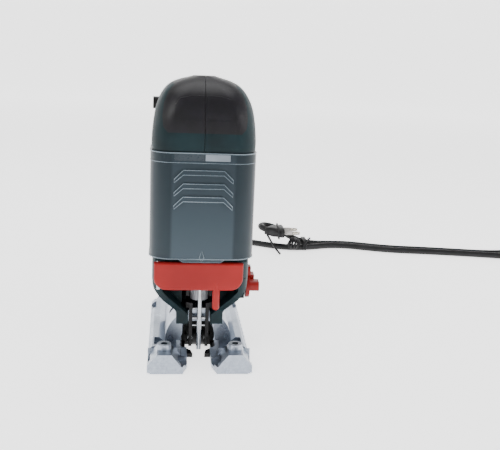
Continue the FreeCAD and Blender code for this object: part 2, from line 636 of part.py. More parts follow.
def build_motor():
    """Universal motor: armature, field, bearings, brushes and the bearing plate."""
    shaft = rod_y(0, MOTOR_Z, 4.0, -5, 132).fuse(rod_y(0, MOTOR_Z, 3.4, -17, -5))
    pinion = spur_gear(PINION_TEETH, 0, MOTOR_Z, -15.5, -4.5, math.pi / PINION_TEETH)
    keep("armature_shaft", fuse_all([shaft, pinion]))
    core = rod_y(0, MOTOR_Z, 15.5, 38, 80).cut(rod_y(0, MOTOR_Z, 4.0, 30, 90))
    slots = [box(-0.9, 0.9, 37, 81, 10, 16) for _ in range(12)]
    for index, slot in enumerate(slots):
        slot.translate(V(0, 0, MOTOR_Z))
        slot.rotate(V(0, 0, MOTOR_Z), AXIS_Y, 30 * index)
    keep("armature_core", core.cut(slots))
    windings = [rod_y(0, MOTOR_Z, 13, 31, 38), rod_y(0, MOTOR_Z, 13, 80, 88)]
    keep("armature_windings", *[w.cut(rod_y(0, MOTOR_Z, 4.0, 20, 100)) for w in windings])
    keep("commutator", rod_y(0, MOTOR_Z, 10.5, 92, 108).cut(rod_y(0, MOTOR_Z, 4.0, 90, 110)))
    hub = rod_y(0, MOTOR_Z, 8, 14, 26).fuse(rod_y(0, MOTOR_Z, 26, 24, 26))
    blades = []
    for index in range(14):
        blade = box(-0.7, 0.7, 16, 24.5, 7, 25.5)
        blade.translate(V(0, 0, MOTOR_Z))
        blade.rotate(V(0, 0, MOTOR_Z), AXIS_Y, 360 / 14 * index)
        blades.append(blade)
    keep("fan", fuse_all([hub] + blades).cut(rod_y(0, MOTOR_Z, 4.0, 0, 40)))
    keep("front_bearing", tube_y(0, MOTOR_Z, 9.5, 4.0, 3, 10))
    keep("rear_bearing", tube_y(0, MOTOR_Z, 9.5, 4.0, 122, 129))
    plate = box(-24, 24, 4, 8, 48, 122).cut(rod_y(0, MOTOR_Z, 9.5, 0, 20)).cut(rod_y(0, GEAR_Z, 4.0, 0, 20))
    plate = plate.common(rod_y(0, MOTOR_Z, 27, 0, 20).fuse(box(-14, 14, 0, 20, 80, 116)))
    keep("bearing_plate", plate)
    field = tube_y(0, MOTOR_Z, 27.5, 20.5, 38, 80)
    poles = box(-12, 12, 38, 80, MOTOR_Z - 22, MOTOR_Z + 22).cut(rod_y(0, MOTOR_Z, 16.3, 30, 90))
    keep("field_core", field.fuse(poles))
    coils = []
    for sign in (-1, 1):
        for side in (-1, 1):
            centre = 15.4 * side
            coils.append(box(centre - 2.4, centre + 2.4, 34, 84, MOTOR_Z + 7.5 * sign - 4, MOTOR_Z + 7.5 * sign + 4))
    cutter = rod_y(0, MOTOR_Z, 16.4, 0, 120).fuse(box(-12.1, 12.1, 0, 120, 0, 200))
    coils = [coil.cut(cutter).common(rod_y(0, MOTOR_Z, 20.3, 0, 120)) for coil in coils]
    keep("field_coils", *[solid for coil in coils for solid in coil.Solids])
    holders = []
    brushes = []
    springs = []
    for side in (-1, 1):
        inner = 13.0
        outer = 27.0
        span = sorted((side * inner, side * outer))
        holder = box(span[0], span[1], 95, 105, MOTOR_Z - 5, MOTOR_Z + 5)
        span_cut = sorted((side * (inner - 1), side * (outer - 1.5)))
        holders.append(holder.cut(box(span_cut[0], span_cut[1], 97, 103, MOTOR_Z - 3.5, MOTOR_Z + 3.5)))
        span_brush = sorted((side * 10.6, side * 20))
        brush = box(span_brush[0], span_brush[1], 97.1, 102.9, MOTOR_Z - 3.4, MOTOR_Z + 3.4)
        brushes.append(brush)
        span_spring = sorted((side * 20.1, side * 25.3))
        springs.append(rod_x(100, MOTOR_Z, 2.4, span_spring[0], span_spring[1]))
    keep("brush_holders", *holders)
    keep("carbon_brushes", *brushes)
    keep("brush_springs", *springs)


def build_pendulum():
    """Orbital action: fork with the guide roller, the selector knob and its cam shaft."""
    arm = prism_x([(-46, 41), (-46, 14), (-42, 4.5), (-31.5, 4.5), (-30.5, 15.5), (-40.9, 17), (-40.9, 41)],
                  5.0, 7.5)
    shoulder = prism_x([(-44.5, 36.5), (-44.5, 41), (-38, 44), (-38, 54.5), (-24, 54.5), (-24, 48),
                        (-34, 42), (-34, 36.5)], 7.4, 10)
    shoulder = shoulder.fuse(prism_x([(-46, 36.5), (-46, 41), (-40.9, 41), (-40.9, 36.5)], 7.4, 7.6))
    fork = both_sides(arm.fuse(shoulder)).cut(rod_x(-27, 51.2, 1.55, -20, 20)).cut(rod_x(-35.6, 10, 1.5, -20, 20))
    keep("pendulum_fork", *fork.Solids)
    keep("fork_pins", rod_x(-35.6, 10, 1.5, -8, 8), rod_x(-43.5, 28.4, 1.3, -4.8, 4.8),
         rod_x(-43.5, 36.0, 0.9, -4.8, 4.8), rod_x(-43.5, 22.5, 0.8, -4.8, 4.8))
    keep("fork_pivot", rod_x(-27, 51.2, 1.5, -12.9, 12.9))
    roller = rod_x(-35.6, 10, 5.8, -4.4, 4.4).cut(rod_x(-35.6, 10, 1.54, -6, 6))
    groove = Part.makeTorus(5.9, 0.9, V(0, -35.6, 10), AXIS_X)
    keep("guide_roller", roller.cut(groove))
    keep("cam_shaft", rod_x(-20, 47.5, 3.0, 13.6, 40))
    disc = rod_x(-20, 47.5, 9.5, 37.2, 40)
    bar = box(37.8, 48, -24.5, -12, 43.2, 51.0)
    bar = rounded(bar, 3.0, lambda edge: along(edge, AXIS_X))
    knob = disc.fuse(bar).fuse(box(38, 45, -13, -3, 45, 53.8)).cut(rod_x(-20, 47.5, 3.0, 30, 40))
    keep("pendulum_knob", knob)


def build_controls():
    """Trigger with its dial and spring, lock-on button, switch, and the dust blower slider."""
    trigger = prism_x([(21, 171), (57, 171), (57, 164), (46, 158), (38, 156), (30, 150), (22, 147), (21, 150)],
                      -7.8, 7.8)
    slot = box(-3.6, 3.6, 41, 56, 150, 168.2)
    keep("trigger", trigger.cut(slot).cut(rod_z(0, 30, 4.2, 164, 180)).cut(rod_x(48.5, 162.5, 1.55, -7, 7)))
    dial = rod_x(48.5, 162.5, 5.4, -3.3, 3.3)
    ribs = []
    for index in range(20):
        rib = rod_x(48.5 + 5.4 * math.cos(math.radians(18 * index)),
                    162.5 + 5.4 * math.sin(math.radians(18 * index)), 0.45, -3.3, 3.3)
        ribs.append(rib)
    keep("speed_dial", dial.cut(ribs).fuse(rod_x(48.5, 162.5, 1.5, -6.6, 6.6)))
    keep("trigger_spring", helix_spring(3.2, 0.45, 14.6, 8, V(0, 30, 164.2)))
    switch = box(-8, 8, 23, 63, 179.2, 193.5)
    keep("switch_module", rounded(switch, 1.5, lambda edge: along(edge, AXIS_X)))
    button = box(-37.3, -22, -26, -14, 184.7, 193.3)
    button = rounded(button, 2.5, lambda edge: along(edge, AXIS_X))
    keep("lock_button", button.fuse(rod_x(-20, 189, 2.0, -22.5, -12)))
    slider = box(36.3, 40.6, -26, -17, 57.0, 64.2)
    slider = rounded(slider, 1.4, lambda edge: along(edge, AXIS_X)).fuse(box(30.5, 36.6, -23.5, -20, 58.9, 62.1))
    keep("blower_slider", slider)
    keep("capacitor", box(-8, 8, 110, 124, 128, 150))
    keep("cable_clamp", box(-11, 11, 118, 126, 92, 97.5))


def build_cord():
    """Strain relief, the cord as it lies, its put-away coil, the plug and the loose tie."""
    relief = Part.makeCone(6.6, 4.6, 40, V(0, 146, 84), V(0, 0.9949, -0.1))
    relief = relief.fuse(rod_y(0, 84, 5.4, 131, 150)).fuse(rod_y(0, 84, 7.4, 144.4, 149))
    keep("strain_relief", relief)
    for node, route in (("cord_tube", CORD_ROUTE), ("cord_return", RETURN_ROUTE)):
        tube, length, radii = pipe(route, CORD_D / 2)
        ratio = tube.Volume / (math.pi * CORD_D ** 2 / 4 * length)
        print(node, "radii", radii, "length", round(length), "volume ratio", round(ratio, 4))
        keep(node, tube)
    outer = COIL_MEAN_R + COIL_BAND / 2
    ring = rod_z(COIL_X, COIL_Y, outer, 0.1, COIL_HEIGHT).cut(rod_z(COIL_X, COIL_Y, outer - COIL_BAND, -1, 40))
    keep("cord_coil", rounded(ring, 3.5, lambda edge: edge.Curve.TypeId == "Part::GeomCircle"))
    build_plug(PLUG_X, PLUG_Y, PLUG_Z)
    build_tie()


def build_plug(x, y, z):
    """Two-pin contour plug: leaf-shaped body, short neck and two pins, pointing along +X."""
    leaf = [(x - 17, y - 5), (x - 13, y - 12), (x - 7, y - 16), (x, y - 16.4),
            (x, y + 16.4), (x - 7, y + 16), (x - 13, y + 12), (x - 17, y + 5)]
    body = prism_z(leaf, z - 6.5, z + 6.5)
    body = rounded(body, 2.5, lambda edge: not along(edge, AXIS_Z))
    neck = rod_x(y, z + 0.8, 4.6, x - 20, x - 12)
    pins = [rod_x(y + offset, z, 2.4, x - 1, x + PIN_LENGTH) for offset in (-PIN_APART / 2, PIN_APART / 2)]
    keep("plug", fuse_all([body, neck] + pins))


def build_tie():
    """Twisted wire ties that hold the plug against the cord: one round both strands, one slanting."""
    wrap = box(TIE_X - 1.6, TIE_X + 1.6, 265.2, 289.5, 0.1, 13)
    wrap = rounded(wrap, 3.0, lambda edge: along(edge, AXIS_X))
    wrap = wrap.cut(box(TIE_X - 3, TIE_X + 3, 266.6, 288.1, 0.9, 11.6))
    slant = rod_z(0, 0, 0.9, 0, 34)
    slant.rotate(V(0, 0, 0), AXIS_X, 32)
    slant.rotate(V(0, 0, 0), AXIS_Y, -28)
    slant.translate(V(110, 254, 7.6))
    keep("cord_tie", wrap, slant)


def build_dust_port():
    """Suction adaptor that plugs into the rear of the housing."""
    tube = tube_y(0, 54, 11.0, 9.0, 130, 150).fuse(tube_y(0, 54, 13.0, 9.0, 142, 150))
    keep("dust_port", tube)


def build_hood():
    """Black dust hood behind the guide roller: an arch on the sole plate with a closed back."""
    arch = tube_y(0, TILT_Z, HOOD_OUTER, HOOD_INNER, HOOD_FRONT, HOOD_REAR)
    back = rod_y(0, TILT_Z, HOOD_OUTER - 1, HOOD_REAR - 1.2, HOOD_REAR)
    ribs = both_sides(box(8.5, 11.5, HOOD_FRONT, HOOD_REAR, SOLE_THICK, TILT_Z))
    hood = fuse_all([arch, back, ribs]).common(box(-20, 20, -60, 0, SOLE_THICK, 40))
    keep("dust_hood", hood.cut(box(-2.5, 2.5, -60, 0, 0, 9)))


def build_guard():
    """Steel finger guard in front of the blade."""
    keep("guard_rod", rod_z(0, -53.0, 1.65, 7, 62).fuse(box(-9, 9, -54.2, -51.8, 58, 62)))


os.makedirs("parts", exist_ok=True)
build_sole()
build_housing()
build_cover()
build_release_lever()
build_stroke()
build_gear()
build_motor()
build_pendulum()
build_controls()
build_cord()
build_dust_port()
build_hood()
build_guard()
for node, shape in NODES.items():
    if not shape.isValid():
        print("invalid:", node)
    shape.exportStep(os.path.join("parts", node + ".step"))
print(len(NODES), "sub-parts")
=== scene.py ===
"""Looks of an orbital-action jigsaw: finishes, soft and fine pieces, cord, light and camera."""

import json
import logging
import math
from dataclasses import dataclass, field
from typing import Any, Iterable, Sequence

import bmesh
import bpy
from mathutils import Matrix, Vector

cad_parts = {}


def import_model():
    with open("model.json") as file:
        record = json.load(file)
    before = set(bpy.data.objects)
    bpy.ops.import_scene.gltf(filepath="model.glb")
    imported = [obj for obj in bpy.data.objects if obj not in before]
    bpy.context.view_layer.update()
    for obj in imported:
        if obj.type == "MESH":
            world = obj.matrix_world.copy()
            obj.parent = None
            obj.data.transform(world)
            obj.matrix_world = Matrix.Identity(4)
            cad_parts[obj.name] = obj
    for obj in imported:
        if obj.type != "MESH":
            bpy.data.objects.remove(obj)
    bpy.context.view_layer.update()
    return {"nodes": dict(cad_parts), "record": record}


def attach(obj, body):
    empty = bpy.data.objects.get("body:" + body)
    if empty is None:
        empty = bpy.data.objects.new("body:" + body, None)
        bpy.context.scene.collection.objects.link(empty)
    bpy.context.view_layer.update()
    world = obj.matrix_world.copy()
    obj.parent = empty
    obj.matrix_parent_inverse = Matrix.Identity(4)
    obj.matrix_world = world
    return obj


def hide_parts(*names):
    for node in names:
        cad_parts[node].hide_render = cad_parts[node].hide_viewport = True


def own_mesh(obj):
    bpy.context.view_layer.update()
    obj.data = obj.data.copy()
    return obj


log = logging.getLogger("jigsaw")
MM = 0.001
CORNER_STEPS = 8
WIRE_TURN_STEPS = 24
BEND_STEPS = 12
ROUND_STEPS = 96
Point = tuple[float, float, float]


# ------------------------------------------------------------------ materials


def linear(code: str) -> tuple[float, float, float, float]:
    """Turn an sRGB hex colour into linear light.

    Args:
        code: Six hex digits, such as "22383c".

    Returns:
        Red, green, blue and an alpha of one.
    """
    channels = [int(code[i:i + 2], 16) / 255 for i in (0, 2, 4)]
    turned = [c / 12.92 if c <= 0.04045 else ((c + 0.055) / 1.055) ** 2.4 for c in channels]
    return turned[0], turned[1], turned[2], 1.0


def add(tree: bpy.types.NodeTree, kind: str, settings: dict[str, Any] | None = None,
        links: dict[str, bpy.types.NodeSocket] | None = None) -> bpy.types.Node:
    """Add a node, set its properties or sockets, and link its inputs.

    Args:
        tree: The node tree to add to.
        kind: Type name of the node.
        settings: Property or input names with their values.
        links: Input names with the output sockets that feed them.

    Returns:
        The new node.
    """
    node = tree.nodes.new(kind)
    for name, value in (settings or {}).items():
        if name in node.inputs:
            node.inputs[name].default_value = value
        else:
            setattr(node, name, value)
    for name, socket in (links or {}).items():
        tree.links.new(socket, node.inputs[name])
    return node


@dataclass(frozen=True)
class Finish:
    """A surface finish that can build its own material."""

    name: str
    colour: str
    roughness: float

    def start(self) -> tuple[bpy.types.Material, bpy.types.NodeTree, bpy.types.Node]:
        """Make an empty material with its output and Principled shader.

        Returns:
            The material, its node tree and the shader node.
        """
        material = bpy.data.materials.new(self.name)
        material.use_nodes = True
        tree = material.node_tree
        tree.nodes.clear()
        shader = add(tree, "ShaderNodeBsdfPrincipled", {"Base Color": linear(self.colour),
                                                        "Roughness": self.roughness})
        output = add(tree, "ShaderNodeOutputMaterial", links={"Surface": shader.outputs["BSDF"]})
        output.is_active_output = True
        return material, tree, shader

    def shade(self, tree: bpy.types.NodeTree, shader: bpy.types.Node) -> None:
        """Add the finish's own pattern; the plain finish has none.

        Args:
            tree: The node tree to add to.
            shader: The Principled shader that the pattern feeds.
        """

    def build(self) -> bpy.types.Material:
        """Make the material.

        Returns:
            The finished material.
        """
        material, tree, shader = self.start()
        self.shade(tree, shader)
        return material


def object_grain(tree: bpy.types.NodeTree, size_mm: float, detail: float = 2.0,
                 stretch: Point = (1.0, 1.0, 1.0)) -> bpy.types.Node:
    """Noise on Object coordinates whose blobs are about size_mm across.

    Args:
        tree: The node tree to add to.
        size_mm: Real size of one grain.
        detail: Octaves of finer noise.
        stretch: How many times longer the grain is along X, Y and Z.

    Returns:
        The noise node.
    """
    place = add(tree, "ShaderNodeTexCoord")
    scale = tuple(1.0 / (size_mm * MM * s) for s in stretch)
    mapping = add(tree, "ShaderNodeMapping", {"Scale": scale}, {"Vector": place.outputs["Object"]})
    return add(tree, "ShaderNodeTexNoise", {"Scale": 1.0, "Detail": detail},
               {"Vector": mapping.outputs["Vector"]})


def tint(tree: bpy.types.NodeTree, shader: bpy.types.Node, source: bpy.types.NodeSocket,
         dark: str, light: str, low: float = 0.35, high: float = 0.65) -> None:
    """Vary the base colour between two tones with a pattern.

    Args:
        tree: The node tree.
        shader: The Principled shader.
        source: Pattern value from zero to one.
        dark: Hex colour at the pattern's low end.
        light: Hex colour at its high end.
        low: Pattern value that gives the dark tone.
        high: Pattern value that gives the light tone.
    """
    ramp = add(tree, "ShaderNodeValToRGB", links={"Fac": source})
    ramp.color_ramp.elements[0].position = low
    ramp.color_ramp.elements[0].color = linear(dark)
    ramp.color_ramp.elements[1].position = high
    ramp.color_ramp.elements[1].color = linear(light)
    tree.links.new(ramp.outputs["Color"], shader.inputs["Base Color"])


def vary_roughness(tree: bpy.types.NodeTree, shader: bpy.types.Node, source: bpy.types.NodeSocket,
                   low: float, high: float) -> None:
    """Let a pattern move the roughness between two values.

    Args:
        tree: The node tree.
        shader: The Principled shader.
        source: Pattern value from zero to one.
        low: Roughness where the pattern is dark.
        high: Roughness where it is light.
    """
    span = add(tree, "ShaderNodeMapRange", {"From Min": 0.3, "From Max": 0.7, "To Min": low, "To Max": high},
               {"Value": source})
    tree.links.new(span.outputs["Result"], shader.inputs["Roughness"])


def bump(tree: bpy.types.NodeTree, shader: bpy.types.Node, source: bpy.types.NodeSocket,
         depth_mm: float, strength: float = 1.0) -> None:
    """Raise the surface by a pattern.

    Args:
        tree: The node tree.
        shader: The Principled shader.
        source: Pattern value from zero to one.
        depth_mm: Height of the pattern.
        strength: Share of that height that shows.
    """
    node = add(tree, "ShaderNodeBump", {"Strength": strength, "Distance": depth_mm * MM}, {"Height": source})
    tree.links.new(node.outputs["Normal"], shader.inputs["Normal"])


@dataclass(frozen=True)
class MouldedPlastic(Finish):
    """Moulded plastic with a spark-eroded grain."""

    # A spark-eroded grain is about 0.1 mm, too fine to show, so it is drawn at grain_mm.
    light: str = "2a444a"
    grain_mm: float = 0.9
    depth_mm: float = 0.05
    coat: float = 0.0
    specular: float = 0.3
    drift_mm: float = 28.0

    def shade(self, tree: bpy.types.NodeTree, shader: bpy.types.Node) -> None:
        """Slow colour drift, a fine grain and a drift of gloss."""
        shader.inputs["Specular IOR Level"].default_value = self.specular
        drift = object_grain(tree, self.drift_mm)
        tint(tree, shader, drift.outputs["Fac"], self.colour, self.light)
        grain = object_grain(tree, self.grain_mm)
        vary_roughness(tree, shader, grain.outputs["Fac"], self.roughness - 0.05, self.roughness + 0.07)
        bump(tree, shader, grain.outputs["Fac"], self.depth_mm, 0.6)
        shader.inputs["Coat Weight"].default_value = self.coat


@dataclass(frozen=True)
class SoftRubber(Finish):
    """Soft moulded elastomer: dense, faintly stippled, with a dull sheen at grazing angles."""

    light: str = "34313a"
    # The stipple is about 0.3 mm, too fine to show, so it is drawn coarser.
    stipple_mm: float = 1.1
    drift_mm: float = 22.0
    sheen: float = 0.05

    def shade(self, tree: bpy.types.NodeTree, shader: bpy.types.Node) -> None:
        """Stipple of small rounded cells over a slow tone drift."""
        shader.inputs["Specular IOR Level"].default_value = 0.3
        drift = object_grain(tree, self.drift_mm)
        tint(tree, shader, drift.outputs["Fac"], self.colour, self.light)
        place = add(tree, "ShaderNodeTexCoord")
        cells = add(tree, "ShaderNodeTexVoronoi", {"Scale": 1.0 / (self.stipple_mm * MM)},
                    {"Vector": place.outputs["Object"]})
        bump(tree, shader, cells.outputs["Distance"], 0.06, 0.5)
        shader.inputs["Sheen Weight"].default_value = self.sheen
        shader.inputs["Sheen Roughness"].default_value = 0.4


@dataclass(frozen=True)
class Metal(Finish):
    """Bare metal whose grain runs the way it was cast, turned or ground."""

    light: str = "c8ccd2"
    # Cast skin and grinding marks are about 0.1 mm, too fine to show, so they are drawn coarser.
    grain_mm: float = 1.2
    stretch: Point = (1.0, 1.0, 1.0)
    depth_mm: float = 0.03
    metallic: float = 1.0
    cloud_mm: float = 14.0

    def shade(self, tree: bpy.types.NodeTree, shader: bpy.types.Node) -> None:
        """Metal with grain in colour, gloss and height."""
        shader.inputs["Metallic"].default_value = self.metallic
        grain = object_grain(tree, self.grain_mm, 3.0, self.stretch)
        tint(tree, shader, grain.outputs["Fac"], self.colour, self.light, 0.25, 0.75)
        clouds = object_grain(tree, self.cloud_mm)
        vary_roughness(tree, shader, clouds.outputs["Fac"], self.roughness - 0.07, self.roughness + 0.08)
        bump(tree, shader, grain.outputs["Fac"], self.depth_mm, 0.7)


@dataclass(frozen=True)
class ClearPlastic(Finish):
    """Smoked see-through plastic, painted lighter low down between the chip ramp's edges, where the ramp
    behind it catches the light.
    """

    light: str = "3d4a53"
    opacity: float = 0.93
    ramp_half_m: float = 0.0215
    ramp_low_m: float = 0.078
    ramp_high_m: float = 0.15
    ramp_fade_m: float = 0.002
    side_light_share: float = 0.3
    top_light_share: float = 0.35
    ripple_mm: float = 24.0
    ior: float = 1.585

    def shade(self, tree: bpy.types.NodeTree, shader: bpy.types.Node) -> None:
        """Painted light, strongest low down between the ramp's edges where the lit chip ramp shows through,
        and a long shallow ripple.
        """
        place = add(tree, "ShaderNodeTexCoord")
        split = add(tree, "ShaderNodeSeparateXYZ", links={"Vector": place.outputs["Object"]})
        off = add(tree, "ShaderNodeMath", {"operation": "ABSOLUTE"})
        tree.links.new(split.outputs["X"], off.inputs[0])
        across = add(tree, "ShaderNodeMapRange",
                     {"From Min": self.ramp_half_m, "From Max": self.ramp_half_m + self.ramp_fade_m,
                      "To Min": 1.0, "To Max": self.side_light_share}, {"Value": off.outputs["Value"]})
        down = add(tree, "ShaderNodeMapRange",
                   {"From Min": self.ramp_low_m, "From Max": self.ramp_high_m,
                    "To Min": 1.0, "To Max": self.top_light_share}, {"Value": split.outputs["Z"]})
        # Painted light: the cover's tone lifts low down between the ramp's edges, standing for the lit ramp
        # behind it.
        painted_ramp_light = add(tree, "ShaderNodeMath", {"operation": "MULTIPLY"})
        tree.links.new(across.outputs["Result"], painted_ramp_light.inputs[0])
        tree.links.new(down.outputs["Result"], painted_ramp_light.inputs[1])
        tint(tree, shader, painted_ramp_light.outputs["Value"], self.colour, self.light, 0.0, 1.0)
        shader.inputs["Alpha"].default_value = self.opacity
        shader.inputs["IOR"].default_value = self.ior
        shader.inputs["Specular IOR Level"].default_value = 0.2
        ripple = object_grain(tree, self.ripple_mm)
        bump(tree, shader, ripple.outputs["Fac"], 0.03, 0.3)


@dataclass(frozen=True)
class GlowingPaper(Finish):
    """White studio paper with a painted glow: bright beyond the working area and dim in front of it."""

    glow: float = 1.7
    dim: float = 0.2
    dim_end_m: float = -0.62
    glow_start_m: float = -0.24
    # Paper fibre is well under a millimetre, too fine to show, so it is drawn coarser.
    fibre_mm: float = 6.0

    def shade(self, tree: bpy.types.NodeTree, shader: bpy.types.Node) -> None:
        """Faint fibre and a glow that fades towards the front of the room."""
        fibre = object_grain(tree, self.fibre_mm)
        tint(tree, shader, fibre.outputs["Fac"], "f2f2f2", self.colour)
        shader.inputs["Emission Color"].default_value = (1.0, 1.0, 1.0, 1.0)
        place = add(tree, "ShaderNodeTexCoord")
        split = add(tree, "ShaderNodeSeparateXYZ", links={"Vector": place.outputs["Object"]})
        # Painted glow: emission dim at the front of the room, bright beyond the working area.
        fade = add(tree, "ShaderNodeMapRange", {"From Min": self.dim_end_m, "From Max": self.glow_start_m,
                                                "To Min": self.dim, "To Max": self.glow},
                   {"Value": split.outputs["Y"]})
        tree.links.new(fade.outputs["Result"], shader.inputs["Emission Strength"])


# Glass-filled nylon from a spark-eroded tool: a dull, faintly grained skin with soft highlights.
HOUSING = MouldedPlastic("glass_filled_polyamide_blue_green", "07191d", 0.46, "0b2429", 0.9, 0.05, 0.0, 0.2)
# Plain black nylon, moulded: an even satin.
BLACK = MouldedPlastic("polyamide_black", "0b0b0c", 0.45, "121213", 0.8, 0.04)
# Red nylon from a smoother tool: brighter highlights than the casing has.
RED = MouldedPlastic("polyamide_red", "86110f", 0.42, "951816", 1.0, 0.03, 0.03, 0.25)
# Elastomer moulded over the nylon: nearly black, its stipple keeps highlights broad and low.
GRIP = SoftRubber("thermoplastic_elastomer_black", "0a090d", 0.42, "131118")
# Smoked polycarbonate, moulded smooth: dark and glossy, with a faint view of what is behind it and painted
# light low in the middle for the lit chip ramp.
CLEAR = ClearPlastic("polycarbonate_smoky_clear", "162127", 0.3)
# Polycarbonate seen edge on: an edge gathers light, so its lines are painted pale as highlights.
EDGE_LIGHT = MouldedPlastic("polycarbonate_edge_painted_highlight", "5d6b75", 0.25, "7f8d97", 0.7, 0.02, 0.0, 0.5)
# Zinc die casting, tumbled: a pale satin without sharp reflections.
SATIN = Metal("satin_zinc_casting", "9da0a6", 0.5, "b3b6bc", 0.9, (1.0, 1.0, 1.0), 0.02, 0.5)
# Smoked polycarbonate without the painted reflection: a band only just lighter than the cover.
SMOKED = MouldedPlastic("polycarbonate_smoked_strip", "2b3238", 0.3, "394249", 0.9, 0.02)
# The same plastic painted lighter as a reflection: a grey band.
REFLECTION_STRIP = MouldedPlastic("polycarbonate_painted_reflection_strip", "6d7780", 0.35, "9aa2ac", 1.2, 0.02)
# PVC drawn over twist wire: black with a thin line of gloss.
WIRE_SKIN = MouldedPlastic("pvc_wire_skin_black", "101012", 0.4, "1b1b1e", 0.5, 0.02)
# Nickel-plated brass, drawn: warm grey with bright streaks along the pins.
NICKEL = Metal("nickel_plated_brass", "b9b3a6", 0.2, "d6d1c6", 0.5, (6.0, 1.0, 1.0), 0.008)
# Natural nylon, moulded: pale and waxy.
PIN_SLEEVE = MouldedPlastic("nylon_pin_sleeve", "a8a4a0", 0.4, "c0bcb8", 0.6, 0.02)
# Aluminium, pressure die cast: cloudy grey with a fine sandy skin.
CAST = Metal("die_cast_aluminium", "8a929e", 0.32, "a3abb7", 1.6, (1.0, 1.0, 1.0), 0.03)
# Ground steel: grinding lines stretch its highlights.
STEEL = Metal("ground_steel", "8f9298", 0.24, "c9ccd0", 0.7, (1.0, 1.0, 9.0), 0.012)
# Zinc-plated steel: a cool, slightly mottled grey.
ZINC = Metal("zinc_plated_steel", "5d6068", 0.4, "7d8188", 1.0, (1.0, 1.0, 1.0), 0.02)
# Blackened steel: almost black, with dull metallic edges.
BLACKENED = Metal("blackened_steel", "131314", 0.38, "202022", 0.9, (1.0, 1.0, 1.0), 0.02, 0.6)
# Stacked core steel: thin sheet lines run round it.
LAMINATED = Metal("laminated_core_steel", "55565a", 0.45, "7c7e83", 0.5, (30.0, 1.0, 30.0), 0.05)
# Enamelled copper wire, wound: reddish ridges that glint one by one.
COPPER = Metal("enamelled_copper_wire", "8a4a26", 0.3, "c47a45", 0.5, (8.0, 1.0, 8.0), 0.12)
# Drawn brass: yellow with faint lines along its length.
BRASS = Metal("drawn_brass", "a98a45", 0.28, "cdb06a", 0.8, (1.0, 8.0, 1.0), 0.01)
# Sintered bronze: brown and dull, because it is porous.
BRONZE = Metal("sintered_bronze", "7d5c34", 0.5, "a07d4c", 0.6, (1.0, 1.0, 1.0), 0.06)
# Pressed carbon: matt and nearly black.
CARBON = MouldedPlastic("pressed_carbon", "101010", 0.6, "1c1c1c", 0.5, 0.05)
# Cast resin: ochre with a smooth, wet-looking skin.
RESIN = MouldedPlastic("cast_resin_ochre", "a07a22", 0.3, "b88e30", 1.0, 0.02)
# Extruded rubber sheath: black, with a soft sheen along its top.
SHEATH = SoftRubber("rubber_cable_sheath", "0d0d0e", 0.46, "151517", 1.4)

SLOT_FINISH: dict[str, Finish] = {
    "housing": HOUSING, "soft_grip": GRIP, "black_plastic": BLACK, "red_plastic": RED, "clear_plastic": CLEAR,
    "cast_aluminium": CAST, "steel": STEEL, "grey_steel": ZINC, "black_steel": BLACKENED,
    "core_steel": LAMINATED, "copper": COPPER, "brass": BRASS, "bronze": BRONZE, "carbon": CARBON,
    "film_plastic": RESIN, "rubber": SHEATH, "cord": SHEATH, "tie_wire": BLACK,
}


NODE_FINISH: dict[str, Finish] = {"blade_collar": SATIN, "blade_clamp": SATIN}


@dataclass
class Paintbox:
    """Builds each finish once and hands it out."""

    made: dict[str, bpy.types.Material] = field(default_factory=dict)

    def get(self, finish: Finish) -> bpy.types.Material:
        """Return the material of a finish, made on first use."""
        if finish.name not in self.made:
            self.made[finish.name] = finish.build()
        return self.made[finish.name]

    def dress(self, obj: bpy.types.Object, finish: Finish) -> None:
        """Give a piece one finish all over."""
        obj.data.materials.clear()
        obj.data.materials.append(self.get(finish))


# ------------------------------------------------------------------ mesh helpers


def piece_from(shape: bmesh.types.BMesh, name: str, smooth: bool = True) -> bpy.types.Object:
    """Turn a bmesh into a linked object at the origin.

    Args:
        shape: The finished bmesh, in metres; it is freed.
        name: The piece's name.
        smooth: Whether its faces are shaded smooth.

    Returns:
        The new object.
    """
    bmesh.ops.recalc_face_normals(shape, faces=shape.faces)
    for face in shape.faces:
        face.smooth = smooth
    mesh = bpy.data.meshes.new(name)
    shape.to_mesh(mesh)
    shape.free()
    obj = bpy.data.objects.new(name, mesh)
    bpy.context.scene.collection.objects.link(obj)
    return obj


class Tube:
    """Round tubes along polylines, gathered into one bmesh."""

    def __init__(self, sides: int = 10) -> None:
        """Start with an empty mesh.

        Args:
            sides: Corners of each tube's section.
        """
        self.shape = bmesh.new()
        self.sides = sides

    def run(self, points: Sequence[Point], radius_mm: float, closed: bool = False) -> None:
        """Add one tube.

        Args:
            points: Centre line in millimetres.
            radius_mm: Radius of the tube.
            closed: Whether the last point joins the first.
        """
        line = [Vector(point) * MM for point in points]
        count = len(line)
        rings = []
        side = Vector((0.0, 0.0, 0.0))
        for index, centre in enumerate(line):
            before = line[index - 1] if index or closed else centre
            after = line[(index + 1) % count] if index + 1 < count or closed else centre
            heading = (after - before).normalized()
            side = side - heading * side.dot(heading)
            if side.length < 1e-6:
                side = heading.orthogonal()
            side.normalize()
            across = heading.cross(side)
            ring = []
            for corner in range(self.sides):
                angle = math.tau * corner / self.sides
                offset = side * math.cos(angle) + across * math.sin(angle)
                ring.append(self.shape.verts.new(centre + offset * radius_mm * MM))
            rings.append(ring)
        pairs = list(zip(rings, rings[1:])) + ([(rings[-1], rings[0])] if closed else [])
        for low, high in pairs:
            for corner in range(self.sides):
                nxt = (corner + 1) % self.sides
                self.shape.faces.new((low[corner], low[nxt], high[nxt], high[corner]))
        if not closed:
            self.shape.faces.new(rings[0][::-1])
            self.shape.faces.new(rings[-1])

    def finish(self, name: str) -> bpy.types.Object:
        """Turn the gathered tubes into an object."""
        return piece_from(self.shape, name)


